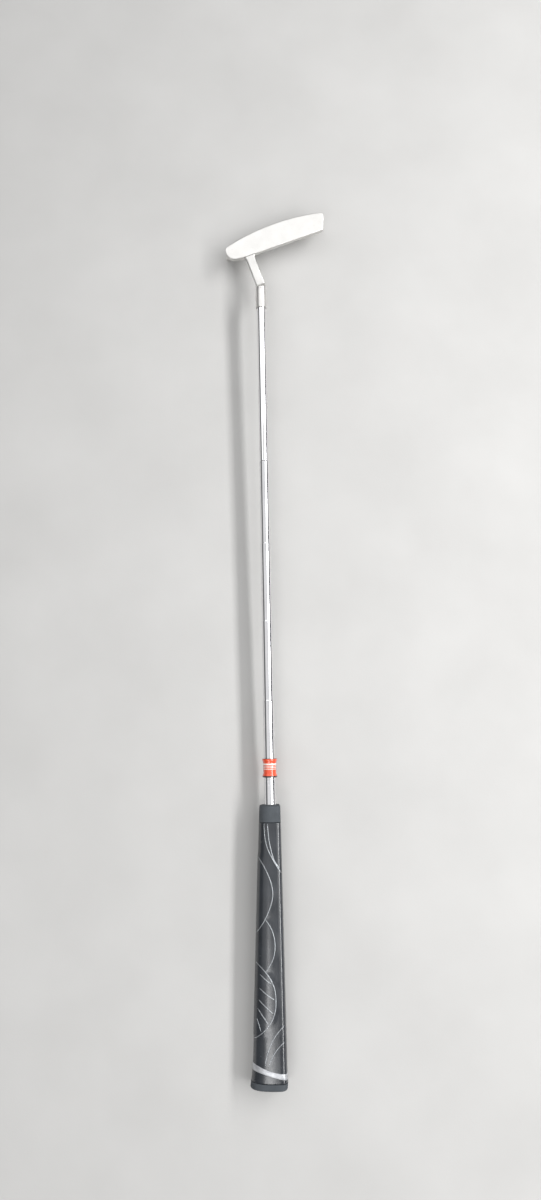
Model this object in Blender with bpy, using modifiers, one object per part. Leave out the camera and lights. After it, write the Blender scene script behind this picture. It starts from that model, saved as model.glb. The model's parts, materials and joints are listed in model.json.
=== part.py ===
"""A blade putter lying face up on a floor: milled head, plumber's neck, stepped steel shaft, pistol grip.

Metres, +Z up. The club is modelled in its own frame: +Y runs up the shaft axis from the butt to the head,
+X points to the toe side and +Z to the target. An empty then lays it on the floor, resting on the butt and
on the back of the head.
"""

import math

import bmesh
import bpy
from mathutils import Matrix, Vector

MM = 0.001
GAP = 0.3 * MM  # clearance between neighbouring pieces

# ---- Driving dimensions --------------------------------------------------------------------------

LIE = math.radians(70.4)  # between the sole line and the shaft
LOFT = math.radians(4)
CLUB_LENGTH = 889 * MM  # butt to sole along the shaft, 35 in

HEAD_HEEL_X = -23.6 * MM  # the head frame starts on the top line, over the middle of the neck's post
HEAD_TOE_X = 92.8 * MM
HEAD_CENTRE_X = (HEAD_HEEL_X + HEAD_TOE_X) / 2
FACE_HEIGHT = 25 * MM
TOP_LINE = 7.0 * MM  # thickness behind the face
HEAD_DEPTH = 27.0 * MM  # face to the rear edge of the flange
SOLE_ROCKER = 252 * MM  # heel to toe radius
SOLE_CAMBER = 66 * MM  # front to back radius
SOLE_LOW_X = HEAD_CENTRE_X + 5 * MM  # deepest point of the rocker
SOLE_LOW_Z = -10 * MM  # deepest point of the camber

POST_HEIGHT = 34.6 * MM  # top line to the shaft axis, along the post
POST_WIDTH = 9.8 * MM
POST_DEPTH = 6.4 * MM
POST_CORNER = 1.4 * MM
FOOT_FLARE = 1.2 * MM  # the foot is this much wider on each side
ARM_START = 34.5 * MM  # height on the post where the arm begins to lean forward
POST_END = 3.6 * MM  # along the shaft, from the post's centre line to where the post is cut square
ARM_END = 9.4 * MM  # along the shaft, from the post's centre line to the round hosel
HOSEL_RADIUS = 5.75 * MM
HOSEL_LENGTH = 32.6 * MM  # from the post's centre line to the mouth
SHAFT_INSERTION = 21 * MM
OFFSET = 4.7 * MM  # the leading edge sits this far behind the shaft axis
SPIGOT_RADIUS = 2.0 * MM
SPIGOT_LENGTH = 7 * MM

SHAFT_TIP_RADIUS = 4.7 * MM
SHAFT_WALL = 0.5 * MM
TIP_STEP_Y = 623 * MM
FIRST_STEP_Y = 534.8 * MM
STEP_PITCH = 81.4 * MM
STEP_LENGTH = 2 * MM
VISIBLE_STEP = 0.25 * MM  # growth in radius at each step that shows
HIDDEN_STEP = 0.7 * MM  # growth at each of the two under the grip

BAND_LENGTH = 18.8 * MM
BAND_Y = 294.1 * MM
BAND_WALL = 0.5 * MM
BAND_RIM = 0.9 * MM  # how far each flared end stands out from the waist

GRIP_LENGTH = 267 * MM
CAP_LENGTH = 6.7 * MM
COLLAR_LENGTH = 16.5 * MM
WRAP_WALL = 1.3 * MM
TAPE_WALL = 0.35 * MM
GRIP_FRONT = (11.9 * MM, 10.0 * MM)  # shaft axis to the flat, at the butt and at the mouth
GRIP_BACK = (22.4 * MM, 11.3 * MM)  # shaft axis to the rounded back
GRIP_HALF_WIDTH = (14.5 * MM, 10.6 * MM)
BUTT_FLARE = 2.2 * MM  # the back stands out this much more at the butt
BUTT_FLARE_LENGTH = 30 * MM

WEIGHT_RADIUS = 6.0 * MM
WEIGHT_LENGTH = 6.0 * MM
WEIGHT_SPREAD = 41.5 * MM  # from the head's centre
WEIGHT_Z = -13.5 * MM
PIN_CIRCLE = 3.9 * MM  # radius on which the three spanner holes lie
PIN_RADIUS = 0.9 * MM
PIN_DEPTH = 2 * MM

ROUND = 32  # sides of a turned piece
SECTION_POINTS = 36  # points round the grip

NECK_Y = CLUB_LENGTH - 63.1 * MM  # where the shaft axis meets the post's centre line
MOUTH_Y = NECK_Y - HOSEL_LENGTH
SHAFT_TIP_Y = MOUTH_Y + SHAFT_INSERTION
SHAFT_BUTT_Y = CAP_LENGTH + 2 * GAP


# ---- Modelling helpers ---------------------------------------------------------------------------


def collection(name):
    made = bpy.data.collections.new(name)
    bpy.context.scene.collection.children.link(made)
    return made


def material(name, colour, roughness, metallic=0.0):
    made = bpy.data.materials.new(name)
    made.use_nodes = True
    shader = made.node_tree.nodes["Principled BSDF"]
    shader.inputs["Base Color"].default_value = (*colour, 1)
    shader.inputs["Roughness"].default_value = roughness
    shader.inputs["Metallic"].default_value = metallic
    made.diffuse_color = (*colour, 1)
    return made


def mesh_object(name, mesh, parent, group, finish=None, matrix=None):
    obj = bpy.data.objects.new(name, mesh)
    group.objects.link(obj)
    obj.parent = parent
    if matrix is not None:
        obj.matrix_local = matrix
    if finish is not None:
        obj.data.materials.append(finish)
    return obj


def cutter(name, mesh, parent, matrix=None):
    obj = mesh_object(name, mesh, parent, CUTTERS, matrix=matrix)
    obj.hide_render = True
    obj.display_type = "WIRE"
    return obj


def empty(name, parent, matrix):
    obj = bpy.data.objects.new(name, None)
    PUTTER.objects.link(obj)
    obj.parent = parent
    obj.matrix_local = matrix
    return obj


def boolean(obj, operation, other):
    modifier = obj.modifiers.new(other.name, "BOOLEAN")
    modifier.operation = operation
    modifier.solver = "EXACT"
    modifier.object = other


def shade(obj, angle=30):
    obj.data.shade_smooth()
    obj.data.set_sharp_from_angle(angle=math.radians(angle))


def bake(obj):
    """Turns the modifiers into mesh, so that the edges that the Booleans made can be marked sharp."""
    bpy.context.view_layer.update()
    graph = bpy.context.evaluated_depsgraph_get()
    obj.data = bpy.data.meshes.new_from_object(obj.evaluated_get(graph))
    obj.modifiers.clear()
    shade(obj)


def arc(centre, radius, start, end, points):
    """Points along an arc, in degrees from +X, both ends included."""
    angles = [math.radians(start + (end - start) * i / (points - 1)) for i in range(points)]
    return [(centre[0] + radius * math.cos(a), centre[1] + radius * math.sin(a)) for a in angles]


def slab_mesh(name, outline, low, high):
    """A flat outline in XY made solid from z = low to z = high."""
    curve = bpy.data.curves.new(name, "CURVE")
    curve.dimensions = "2D"
    curve.fill_mode = "BOTH"
    curve.extrude = (high - low) / 2
    spline = curve.splines.new("POLY")
    spline.points.add(len(outline) - 1)
    for point, (x, y) in zip(spline.points, outline):
        point.co = (x, y, 0, 1)
    spline.use_cyclic_u = True
    holder = bpy.data.objects.new(name, curve)
    bpy.context.scene.collection.objects.link(holder)
    graph = bpy.context.evaluated_depsgraph_get()
    mesh = bpy.data.meshes.new_from_object(holder.evaluated_get(graph))
    bpy.data.objects.remove(holder)
    mesh.transform(Matrix.Translation((0, 0, (high + low) / 2)))
    bm = bmesh.new()
    bm.from_mesh(mesh)
    bmesh.ops.remove_doubles(bm, verts=bm.verts, dist=1e-6)
    bmesh.ops.recalc_face_normals(bm, faces=bm.faces)
    bm.to_mesh(mesh)
    bm.free()
    return mesh


def cylinder_mesh(name, radius, low, high, sides=ROUND):
    mesh = bpy.data.meshes.new(name)
    bm = bmesh.new()
    bmesh.ops.create_cone(
        bm, cap_ends=True, segments=sides, radius1=radius, radius2=radius, depth=high - low
    )
    bmesh.ops.translate(bm, vec=(0, 0, (high + low) / 2), verts=bm.verts)
    bm.to_mesh(mesh)
    bm.free()
    return mesh


def turned(name, profile, parent, group, finish=None, sides=ROUND, matrix=None, closed=True):
    """A profile of (radius, height) points, outer side first and downwards, spun round local Z."""
    mesh = bpy.data.meshes.new(name)
    edges = [(i, i + 1) for i in range(len(profile) - 1)]
    if closed:
        edges.append((len(profile) - 1, 0))
    mesh.from_pydata([(r, 0, z) for r, z in profile], edges, [])
    obj = mesh_object(name, mesh, parent, group, finish, matrix)
    screw = obj.modifiers.new("spin", "SCREW")
    screw.axis = "Z"
    screw.steps = sides
    screw.render_steps = sides
    screw.use_merge_vertices = True
    screw.merge_threshold = 1e-5
    screw.use_smooth_shade = True
    return obj


def skin_mesh(name, rings, ring_again=False):
    """A skin over rings of equal length: capped, or with ring_again joined back to the first."""
    bm = bmesh.new()
    levels = [[bm.verts.new(point) for point in ring] for ring in rings]
    count = len(rings[0])
    pairs = zip(levels, levels[1:] + levels[:1]) if ring_again else zip(levels, levels[1:])
    for low, high in pairs:
        for i in range(count):
            j = (i + 1) % count
            bm.faces.new((low[i], low[j], high[j], high[i]))
    if not ring_again:
        bm.faces.new(levels[0])
        bm.faces.new(levels[-1])
    bmesh.ops.recalc_face_normals(bm, faces=bm.faces)
    mesh = bpy.data.meshes.new(name)
    bm.to_mesh(mesh)
    bm.free()
    return mesh


def hull_mesh(name, points):
    mesh = bpy.data.meshes.new(name)
    bm = bmesh.new()
    for point in points:
        bm.verts.new(point)
    made = bmesh.ops.convex_hull(bm, input=bm.verts)
    loose = [v for v in made["geom_interior"] if isinstance(v, bmesh.types.BMVert)]
    bmesh.ops.delete(bm, geom=loose, context="VERTS")
    bmesh.ops.recalc_face_normals(bm, faces=bm.faces)
    bm.to_mesh(mesh)
    bm.free()
    return mesh


# ---- Frames --------------------------------------------------------------------------------------

ALONG_SHAFT = Matrix.Rotation(math.radians(-90), 4, "X")  # local +Z becomes the club's +Y


def head_matrix():
    """The head frame in the club's frame: +X to the toe, +Y to the sole, +Z out of the face."""
    turn = Matrix.Rotation(math.radians(90) - LIE, 4, "Z")
    post_foot = Vector((0, NECK_Y, 0)) + turn @ Vector((0, POST_HEIGHT, 0))
    post_foot.z = -OFFSET - FACE_HEIGHT * math.sin(LOFT)
    return Matrix.Translation(post_foot) @ turn @ Matrix.Rotation(LOFT, 4, "X")


def lying_matrix():
    """Turns the club so that the butt and both ends of the flange's rear edge touch one level floor."""
    head = head_matrix()
    edge_y = flange_top(HEAD_DEPTH)
    toe_end = head @ Vector((REAR_TOE_X, edge_y, -HEAD_DEPTH))
    heel_end = head @ Vector((REAR_HEEL_X, edge_y, -HEAD_DEPTH))
    butt = Vector((0, CAP_LENGTH, -GRIP_HALF_WIDTH[0]))
    up = (toe_end - butt).cross(heel_end - butt).normalized()
    forward = (Vector((0, 1, 0)) - up * up.y).normalized()
    right = forward.cross(up)
    return Matrix((right, forward, up)).to_4x4()


# ---- Head ----------------------------------------------------------------------------------------

REAR_HEEL_X = HEAD_CENTRE_X - 30 * MM  # ends of the flange's straight rear edge
REAR_TOE_X = HEAD_CENTRE_X + 30 * MM
FLANGE_TOP_FRONT = 16.4 * MM
FLANGE_SLOPE = math.radians(4)


def flange_top(depth):
    return FLANGE_TOP_FRONT + (depth - TOP_LINE) * math.tan(FLANGE_SLOPE)


def face_outline():
    """Straight top line, slanted toe, round heel. The sole side runs on past where the rocker trims it."""
    heel = 10 * MM
    heel_centre = (HEAD_HEEL_X + heel, 10.9 * MM)
    toe_slant = 22.9
    toe_top = 3 * MM
    toe_sole = 4.1 * MM
    past_sole = 40 * MM
    outline = arc((HEAD_TOE_X - 8.3 * MM, toe_top), toe_top, -90, -toe_slant, 5)
    outline += arc((HEAD_TOE_X - toe_sole, 15.9 * MM), toe_sole, -toe_slant, 80, 7)
    outline += [(HEAD_TOE_X - 6 * MM, past_sole), (heel_centre[0] + 6 * MM, past_sole)]
    outline += arc(heel_centre, heel, 95, 264, 14)
    outline.append((-4 * MM, 0))
    return outline


def plan_outline():
    """The head seen along the face: straight front, rear corners that sweep round to the heel and toe."""
    power = 2 / 2.5
    front = 10 * MM
    sweep_start = -6 * MM
    points = []
    for centre, reach in ((REAR_TOE_X, 31 * MM), (REAR_HEEL_X, -31 * MM)):
        corner = []
        for i in range(9):
            angle = math.radians(90 * i / 8)
            across = centre + reach * math.cos(angle) ** power
            back = sweep_start - (HEAD_DEPTH + sweep_start) * math.sin(angle) ** power
            corner.append((across, back))
        points += corner if reach > 0 else corner[::-1]
    toe_end, heel_end = points[0][0], points[-1][0]
    return [(toe_end, front), *points, (heel_end, front)]


def sole_profile():
    """Half section of the crowned disc whose rim is the sole."""
    reach = 8 * MM
    steps = 10
    low = -HEAD_DEPTH - reach
    rim = []
    for i in range(steps + 1):
        z = reach + (low - reach) * i / steps
        drop = SOLE_CAMBER - math.sqrt(SOLE_CAMBER**2 - (z - SOLE_LOW_Z) ** 2)
        rim.append((SOLE_ROCKER - drop, z))
    return [(0, reach), *rim, (0, low)]


def along_x(outline, low, high, name):
    """A slab whose outline lies in the head's (Y, Z) plane, solid from x = low to x = high."""
    mesh = slab_mesh(name, outline, low, high)
    mesh.transform(Matrix(((0, 0, 1, 0), (1, 0, 0, 0), (0, 1, 0, 0), (0, 0, 0, 1))))
    return mesh


def along_y(outline, low, high, name):
    """A slab whose outline lies in the head's (X, Z) plane, solid from y = low to y = high."""
    mesh = slab_mesh(name, outline, low, high)
    mesh.transform(Matrix(((1, 0, 0, 0), (0, 0, 1, 0), (0, 1, 0, 0), (0, 0, 0, 1))))
    mesh.flip_normals()
    return mesh


def weight_matrix(side):
    """A sole weight's frame, local +Z pointing out of the sole, square to the rocker."""
    x = HEAD_CENTRE_X + side * WEIGHT_SPREAD
    centre_y = FACE_HEIGHT - SOLE_ROCKER
    lean = math.asin((x - SOLE_LOW_X) / SOLE_ROCKER)
    surface = Vector((x, centre_y + SOLE_ROCKER * math.cos(lean), WEIGHT_Z))
    outwards = Matrix.Rotation(-lean, 4, "Z") @ Matrix.Rotation(math.radians(-90), 4, "X")
    return Matrix.Translation(surface) @ outwards


def build_head(frame, steel):
    head = mesh_object(
        "blade_head", slab_mesh("blade_head", face_outline(), -HEAD_DEPTH - 3 * MM, 0), frame, PUTTER, steel
    )
    plan = along_y(plan_outline(), -5 * MM, 50 * MM, "plan_form")
    boolean(head, "INTERSECT", cutter("plan_form", plan, frame))
    disc_centre = Matrix.Translation((SOLE_LOW_X, FACE_HEIGHT - SOLE_ROCKER, 0))
    disc = turned("sole_form", sole_profile(), frame, CUTTERS, sides=160, matrix=disc_centre, closed=False)
    disc.hide_render = True
    disc.display_type = "WIRE"
    boolean(head, "INTERSECT", disc)

    far = 45 * MM
    rear_top = flange_top(HEAD_DEPTH)
    step, fillet, crest = 5 * MM, 2.4 * MM, 9 * MM  # depths under the top line
    roll = 12 * MM  # how far the bumpers take to roll over to the rear edge
    shoulder = [(-5 * MM, -TOP_LINE)]
    shoulder += arc((step, -TOP_LINE - fillet), fillet, 90, 20, 5)
    for i in range(9):
        angle = math.radians(90 * i / 8)
        down = crest + (rear_top - crest) * (1 - math.cos(angle))
        shoulder.append((down, roll - HEAD_DEPTH - roll * math.sin(angle)))
    shoulder += [(rear_top, -far), (-5 * MM, -far)]
    behind = along_x(shoulder, -40 * MM, 120 * MM, "shoulder_cut")
    boolean(head, "DIFFERENCE", cutter("shoulder_cut", behind, frame))

    half_floor, half_top, corner = 24 * MM, 29 * MM, 3 * MM
    notch = [(-half_top, -16 * MM)]
    notch += arc((-half_floor + corner, -corner), corner, 160, 90, 5)
    notch += arc((half_floor - corner, -corner), corner, 90, 20, 5)
    notch.append((half_top, -16 * MM))
    slope = Matrix.Rotation(-FLANGE_SLOPE, 4, "X")
    tilt = Matrix.Translation((HEAD_CENTRE_X, FLANGE_TOP_FRONT, -TOP_LINE)) @ slope
    boolean(head, "DIFFERENCE", cutter("flange_cut", slab_mesh("flange_cut", notch, -far, 0), frame, tilt))

    pocket = rounded_rectangle(22 * MM, 5 * MM, 2.5 * MM, 5)
    seat = Matrix.Translation((HEAD_CENTRE_X, 10.2 * MM, 0))
    boolean(head, "DIFFERENCE", cutter("cavity", slab_mesh("cavity", pocket, -far, -4.5 * MM), frame, seat))

    line = cylinder_mesh("sight_line_cut", 0.9 * MM, -40 * MM, -9 * MM, 12)
    seat = Matrix.Translation((HEAD_CENTRE_X, flange_top(9 * MM), 0)) @ slope
    boolean(head, "DIFFERENCE", cutter("sight_line_cut", line, frame, seat))

    for name, side in (("heel", -1), ("toe", 1)):
        hole = cylinder_mesh(name + "_pocket", WEIGHT_RADIUS + GAP, -WEIGHT_LENGTH - 2 * GAP, 10 * MM, ROUND)
        boolean(head, "DIFFERENCE", cutter(name + "_pocket", hole, frame, weight_matrix(side)))

    socket = cylinder_mesh("neck_socket", SPIGOT_RADIUS + GAP, -SPIGOT_LENGTH - GAP, 5 * MM, 20)
    boolean(head, "DIFFERENCE", cutter("neck_socket", socket, frame, spigot_matrix()))
    bake(head)


def build_weights(frame, steel):
    for name, side in (("heel_weight", -1), ("toe_weight", 1)):
        body = cylinder_mesh(name, WEIGHT_RADIUS, -WEIGHT_LENGTH - GAP, -GAP)
        weight = mesh_object(name, body, frame, PUTTER, steel, weight_matrix(side))
        for turn in range(3):
            angle = math.radians(90 + 120 * turn)
            at = Matrix.Translation((PIN_CIRCLE * math.cos(angle), PIN_CIRCLE * math.sin(angle), 0))
            pin_hole = cylinder_mesh(f"{name}_pin_{turn}", PIN_RADIUS, -PIN_DEPTH, 5 * MM, 12)
            boolean(weight, "DIFFERENCE", cutter(pin_hole.name, pin_hole, frame, weight_matrix(side) @ at))
        bake(weight)


# ---- Neck ----------------------------------------------------------------------------------------

POST_CENTRE_Z = -TOP_LINE / 2


def spigot_matrix():
    """Foot of the post on the top line, local +Z up the post."""
    return Matrix.Translation((0, 0, POST_CENTRE_Z)) @ Matrix.Rotation(math.radians(90), 4, "X")


def rounded_rectangle(half_x, half_y, corner, points=4):
    outline = []
    for i, (sx, sy) in enumerate(((1, 1), (-1, 1), (-1, -1), (1, -1))):
        centre = (sx * (half_x - corner), sy * (half_y - corner))
        outline += arc(centre, corner, 90 * i, 90 * i + 90, points)
    return outline


def post_section(height, flare):
    """The post's outline at a height over the top line, in the head frame."""
    outline = rounded_rectangle(POST_WIDTH / 2 + flare, POST_DEPTH / 2, POST_CORNER)
    return [Vector((x, -height, POST_CENTRE_Z + z)) for x, z in outline]


def post_end(reach, scale):
    """The post cut by the plane square to the shaft, this far along the shaft from the post's centre line."""
    to_club = head_matrix()
    points = []
    for x, z in rounded_rectangle(POST_WIDTH / 2, POST_DEPTH / 2, POST_CORNER):
        at = Vector((x * scale, 0, POST_CENTRE_Z + z * scale))
        at.y = (NECK_Y - reach - (to_club @ at).y) / to_club[1][1]
        points.append(at)
    return points


def hosel_ring(reach):
    to_head = head_matrix().inverted()
    ring = arc((0, 0), HOSEL_RADIUS, 0, 360 - 360 / ROUND, ROUND)
    return [to_head @ Vector((x, NECK_Y - reach, z)) for x, z in ring]


def build_neck(frame, club, steel):
    """A square post with a flared foot, an arm that leans forward, and the hosel that takes the shaft."""
    rings = []
    for height, flare in ((GAP, 1), (1.2 * MM, 0.72), (2.6 * MM, 0.36), (4.4 * MM, 0.1), (6.5 * MM, 0)):
        rings.append(post_section(height, FOOT_FLARE * flare))
    rings.append(post_section(ARM_START + 1 * MM, 0))
    neck = mesh_object("plumber_neck", skin_mesh("plumber_neck", rings), frame, PUTTER, steel)

    ease = 1 * MM
    arm = post_section(ARM_START, 0) + post_end(POST_END - ease, 1) + post_end(POST_END, 0.86)
    arm += hosel_ring(ARM_END) + hosel_ring(ARM_END + 4 * MM)
    boolean(neck, "UNION", cutter("neck_arm", hull_mesh("neck_arm", arm), frame))

    rim = 0.4 * MM
    profile = [
        (0, NECK_Y - ARM_END - 2 * MM),
        (HOSEL_RADIUS + 0.05 * MM, NECK_Y - ARM_END - 2 * MM),
        (HOSEL_RADIUS + 0.05 * MM, MOUTH_Y + rim),
        (HOSEL_RADIUS - rim, MOUTH_Y),
        (0, MOUTH_Y),
    ]
    hosel = turned("hosel", profile, club, CUTTERS, matrix=ALONG_SHAFT, closed=False)
    hosel.hide_render = True
    hosel.display_type = "WIRE"
    boolean(neck, "UNION", hosel)
    spigot = cylinder_mesh("spigot", SPIGOT_RADIUS, -SPIGOT_LENGTH, 3 * MM, 20)
    boolean(neck, "UNION", cutter("spigot", spigot, frame, spigot_matrix()))
    bore = cylinder_mesh("hosel_bore", SHAFT_TIP_RADIUS + GAP, MOUTH_Y - 5 * MM, SHAFT_TIP_Y + GAP)
    boolean(neck, "DIFFERENCE", cutter("hosel_bore", bore, club, ALONG_SHAFT))
    bake(neck)


# ---- Shaft and what is on it ---------------------------------------------------------------------


def shaft_steps():
    """(place, growth in radius) of each step, from the tip to the butt."""
    steps = [(TIP_STEP_Y, VISIBLE_STEP)]
    for i in range(6):
        growth = VISIBLE_STEP if i < 4 else HIDDEN_STEP
        steps.append((FIRST_STEP_Y - i * STEP_PITCH, growth))
    return steps


def shaft_radius(y):
    return SHAFT_TIP_RADIUS + sum(growth for place, growth in shaft_steps() if y < place)


def stepped_line(low, high, offset):
    """(radius, y) points along the shaft's outer surface from high to low, moved out by offset."""
    points = [(shaft_radius(high) + offset, high)]
    for place, _ in shaft_steps():
        if low < place - STEP_LENGTH and place < high:
            points.append((shaft_radius(place + MM) + offset, place))
            points.append((shaft_radius(place - MM) + offset, place - STEP_LENGTH))
    points.append((shaft_radius(low) + offset, low))
    return points


def sleeve(outer, inner):
    return outer + inner[::-1]


def build_shaft(club, chrome, plastic):
    outer = stepped_line(SHAFT_BUTT_Y, SHAFT_TIP_Y, 0)
    inner = stepped_line(SHAFT_BUTT_Y, SHAFT_TIP_Y, -SHAFT_WALL)
    turned("shaft", sleeve(outer, inner), club, PUTTER, chrome, matrix=ALONG_SHAFT)
    plug_radius = SHAFT_TIP_RADIUS - SHAFT_WALL - GAP
    mesh_object(
        "tip_plug",
        cylinder_mesh("tip_plug", plug_radius, SHAFT_TIP_Y - 14 * MM, SHAFT_TIP_Y - 2 * MM, 24),
        club,
        PUTTER,
        plastic,
        ALONG_SHAFT,
    )


def build_band(club, vinyl):
    inner = shaft_radius(BAND_Y) + GAP
    body, rim = inner + BAND_WALL, inner + BAND_WALL + BAND_RIM
    lip, taper = 1.6 * MM, 5 * MM  # from each end: where the flare begins to narrow, and where the waist begins
    top = BAND_Y + BAND_LENGTH
    profile = [
        (inner, top),
        (rim - 0.3 * MM, top),
        (rim, top - 0.4 * MM),
        (rim, top - lip),
        (body, top - taper),
        (body, BAND_Y + taper),
        (rim, BAND_Y + lip),
        (rim, BAND_Y + 0.4 * MM),
        (rim - 0.3 * MM, BAND_Y),
        (inner, BAND_Y),
    ]
    turned("shaft_band", profile, club, PUTTER, vinyl, matrix=ALONG_SHAFT)


def grip_section(y, shrink=0.0):
    """The grip's outline across the shaft at y: a flat towards the toe side, a rounded pistol back."""
    share = min(max(y / GRIP_LENGTH, 0), 1)
    front, back, half = (
        ends[0] + (ends[1] - ends[0]) * share - shrink for ends in (GRIP_FRONT, GRIP_BACK, GRIP_HALF_WIDTH)
    )
    back += BUTT_FLARE * max(0, 1 - y / BUTT_FLARE_LENGTH) ** 2
    widest = 0.15 * front
    points = []
    for i in range(SECTION_POINTS):
        angle = 2 * math.pi * (i + 0.5) / SECTION_POINTS
        forward = math.cos(angle) > 0
        power = 2 / 4.2 if forward else 2 / 2.2
        reach = front - widest if forward else back + widest
        x = widest + reach * math.copysign(abs(math.cos(angle)) ** power, math.cos(angle))
        z = half * math.copysign(abs(math.sin(angle)) ** power, math.sin(angle))
        points.append((x, y, z))
    return points


def bore_ring(y, radius):
    angles = [2 * math.pi * (i + 0.5) / SECTION_POINTS for i in range(SECTION_POINTS)]
    return [(radius * math.cos(a), y, radius * math.sin(a)) for a in angles]


def lofted(name, rings, club, finish):
    obj = mesh_object(name, skin_mesh(name, rings, ring_again=True), club, PUTTER, finish)
    shade(obj)


def build_grip(club, rubber, foam, wrap_material, tape_material):
    wrap_low = CAP_LENGTH + GAP
    wrap_high = GRIP_LENGTH - COLLAR_LENGTH - GAP
    levels = 7
    heights = [wrap_low + (wrap_high - wrap_low) * (i / levels) ** 2 for i in range(levels + 1)]

    outside = [grip_section(y) for y in heights]
    inside = [grip_section(y, WRAP_WALL) for y in heights]
    lofted("grip_wrap", outside + inside[::-1], club, wrap_material)

    tape_offset = GAP + TAPE_WALL
    bore = stepped_line(wrap_low, wrap_high, tape_offset + GAP)
    core_outside = [grip_section(y, WRAP_WALL + GAP) for y in heights]
    lofted("grip_core", core_outside + [bore_ring(y, r) for r, y in bore], club, foam)

    tape_low, tape_high = SHAFT_BUTT_Y, wrap_high
    tape = sleeve(stepped_line(tape_low, tape_high, tape_offset), stepped_line(tape_low, tape_high, GAP))
    turned("grip_tape", tape, club, PUTTER, tape_material, sides=24, matrix=ALONG_SHAFT)

    collar_low = GRIP_LENGTH - COLLAR_LENGTH
    hole = shaft_radius(GRIP_LENGTH) + GAP
    collar = [
        bore_ring(collar_low, hole),
        grip_section(collar_low, 0.15 * MM),
        grip_section(GRIP_LENGTH - 1.5 * MM, 0.15 * MM),
        grip_section(GRIP_LENGTH - 0.5 * MM, 0.7 * MM),
        grip_section(GRIP_LENGTH, 1.8 * MM),
        bore_ring(GRIP_LENGTH, hole),
    ]
    lofted("grip_collar", collar, club, rubber)

    vent = 1.2 * MM
    cap = [
        bore_ring(0, vent),
        grip_section(0, 2.0 * MM),
        grip_section(0.6 * MM, 0.8 * MM),
        grip_section(1.8 * MM, 0.0),
        grip_section(CAP_LENGTH, -0.3 * MM),
        bore_ring(CAP_LENGTH, vent),
    ]
    lofted("grip_end_cap", cap, club, rubber)


# ---- Assembly ------------------------------------------------------------------------------------


def lowest_and_centre():
    """The floor height and the middle of the evaluated parts, in world space."""
    bpy.context.view_layer.update()
    graph = bpy.context.evaluated_depsgraph_get()
    corners = []
    for obj in PUTTER.objects:
        if obj.type != "EMPTY":
            evaluated = obj.evaluated_get(graph)
            mesh = evaluated.to_mesh()
            corners += [evaluated.matrix_world @ v.co for v in mesh.vertices]
            evaluated.to_mesh_clear()
    low = Vector([min(c[k] for c in corners) for k in range(3)])
    high = Vector([max(c[k] for c in corners) for k in range(3)])
    return Vector(((low.x + high.x) / 2, (low.y + high.y) / 2, low.z))


for old in list(bpy.data.objects):
    bpy.data.objects.remove(old)

PUTTER = collection("blade_putter")
CUTTERS = collection("cutters")

satin_steel = material("satin_steel", (0.78, 0.77, 0.75), 0.32, 1.0)
weight_steel = material("weight_steel", (0.55, 0.55, 0.55), 0.28, 1.0)
chrome_plate = material("chrome_plate", (0.82, 0.83, 0.85), 0.06, 1.0)
band_vinyl = material("band_vinyl", (0.75, 0.13, 0.06), 0.35)
grip_rubber = material("grip_rubber", (0.045, 0.05, 0.055), 0.8)
grip_polymer = material("grip_polymer", (0.03, 0.033, 0.038), 0.42)
grip_foam = material("grip_foam", (0.05, 0.05, 0.05), 0.9)
tape_paper = material("tape_paper", (0.75, 0.72, 0.62), 0.85)
plug_plastic = material("plug_plastic", (0.1, 0.1, 0.1), 0.5)

club_frame = empty("club_frame", None, Matrix.Identity(4))
head_frame = empty("head_frame", club_frame, head_matrix())

build_head(head_frame, satin_steel)
build_weights(head_frame, weight_steel)
build_neck(head_frame, club_frame, satin_steel)
build_shaft(club_frame, chrome_plate, plug_plastic)
build_band(club_frame, band_vinyl)
build_grip(club_frame, grip_rubber, grip_foam, grip_polymer, tape_paper)

club_frame.matrix_local = lying_matrix()
middle = lowest_and_centre()
club_frame.matrix_local = Matrix.Translation(-middle) @ lying_matrix()
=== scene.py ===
import json
import math

import bmesh
import bpy
import numpy as np
from mathutils import Matrix, Vector


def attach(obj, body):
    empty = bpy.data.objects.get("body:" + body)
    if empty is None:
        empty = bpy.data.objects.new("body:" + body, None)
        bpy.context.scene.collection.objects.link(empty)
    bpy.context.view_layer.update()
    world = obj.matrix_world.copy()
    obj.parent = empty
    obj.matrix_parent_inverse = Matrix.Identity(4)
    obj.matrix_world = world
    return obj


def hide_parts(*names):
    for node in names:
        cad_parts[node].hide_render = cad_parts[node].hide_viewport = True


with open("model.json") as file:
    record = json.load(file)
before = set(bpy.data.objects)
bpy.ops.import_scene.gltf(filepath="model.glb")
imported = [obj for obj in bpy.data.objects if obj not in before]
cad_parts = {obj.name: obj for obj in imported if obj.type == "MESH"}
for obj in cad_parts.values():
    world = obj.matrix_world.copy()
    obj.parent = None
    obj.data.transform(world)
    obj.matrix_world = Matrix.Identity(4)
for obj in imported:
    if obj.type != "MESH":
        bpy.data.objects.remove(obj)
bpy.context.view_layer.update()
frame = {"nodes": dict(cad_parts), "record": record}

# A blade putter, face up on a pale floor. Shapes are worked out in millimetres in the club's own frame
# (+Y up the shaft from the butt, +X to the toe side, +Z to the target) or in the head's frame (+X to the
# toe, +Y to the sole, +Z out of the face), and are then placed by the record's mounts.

MM = 0.001

# ---- Dimensions, in millimetres, as in the CAD -----------------------------------------------

GAP = 0.3
LIE = math.radians(70.4)
LOFT = math.radians(4)
CLUB_LENGTH = 889.0

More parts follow.
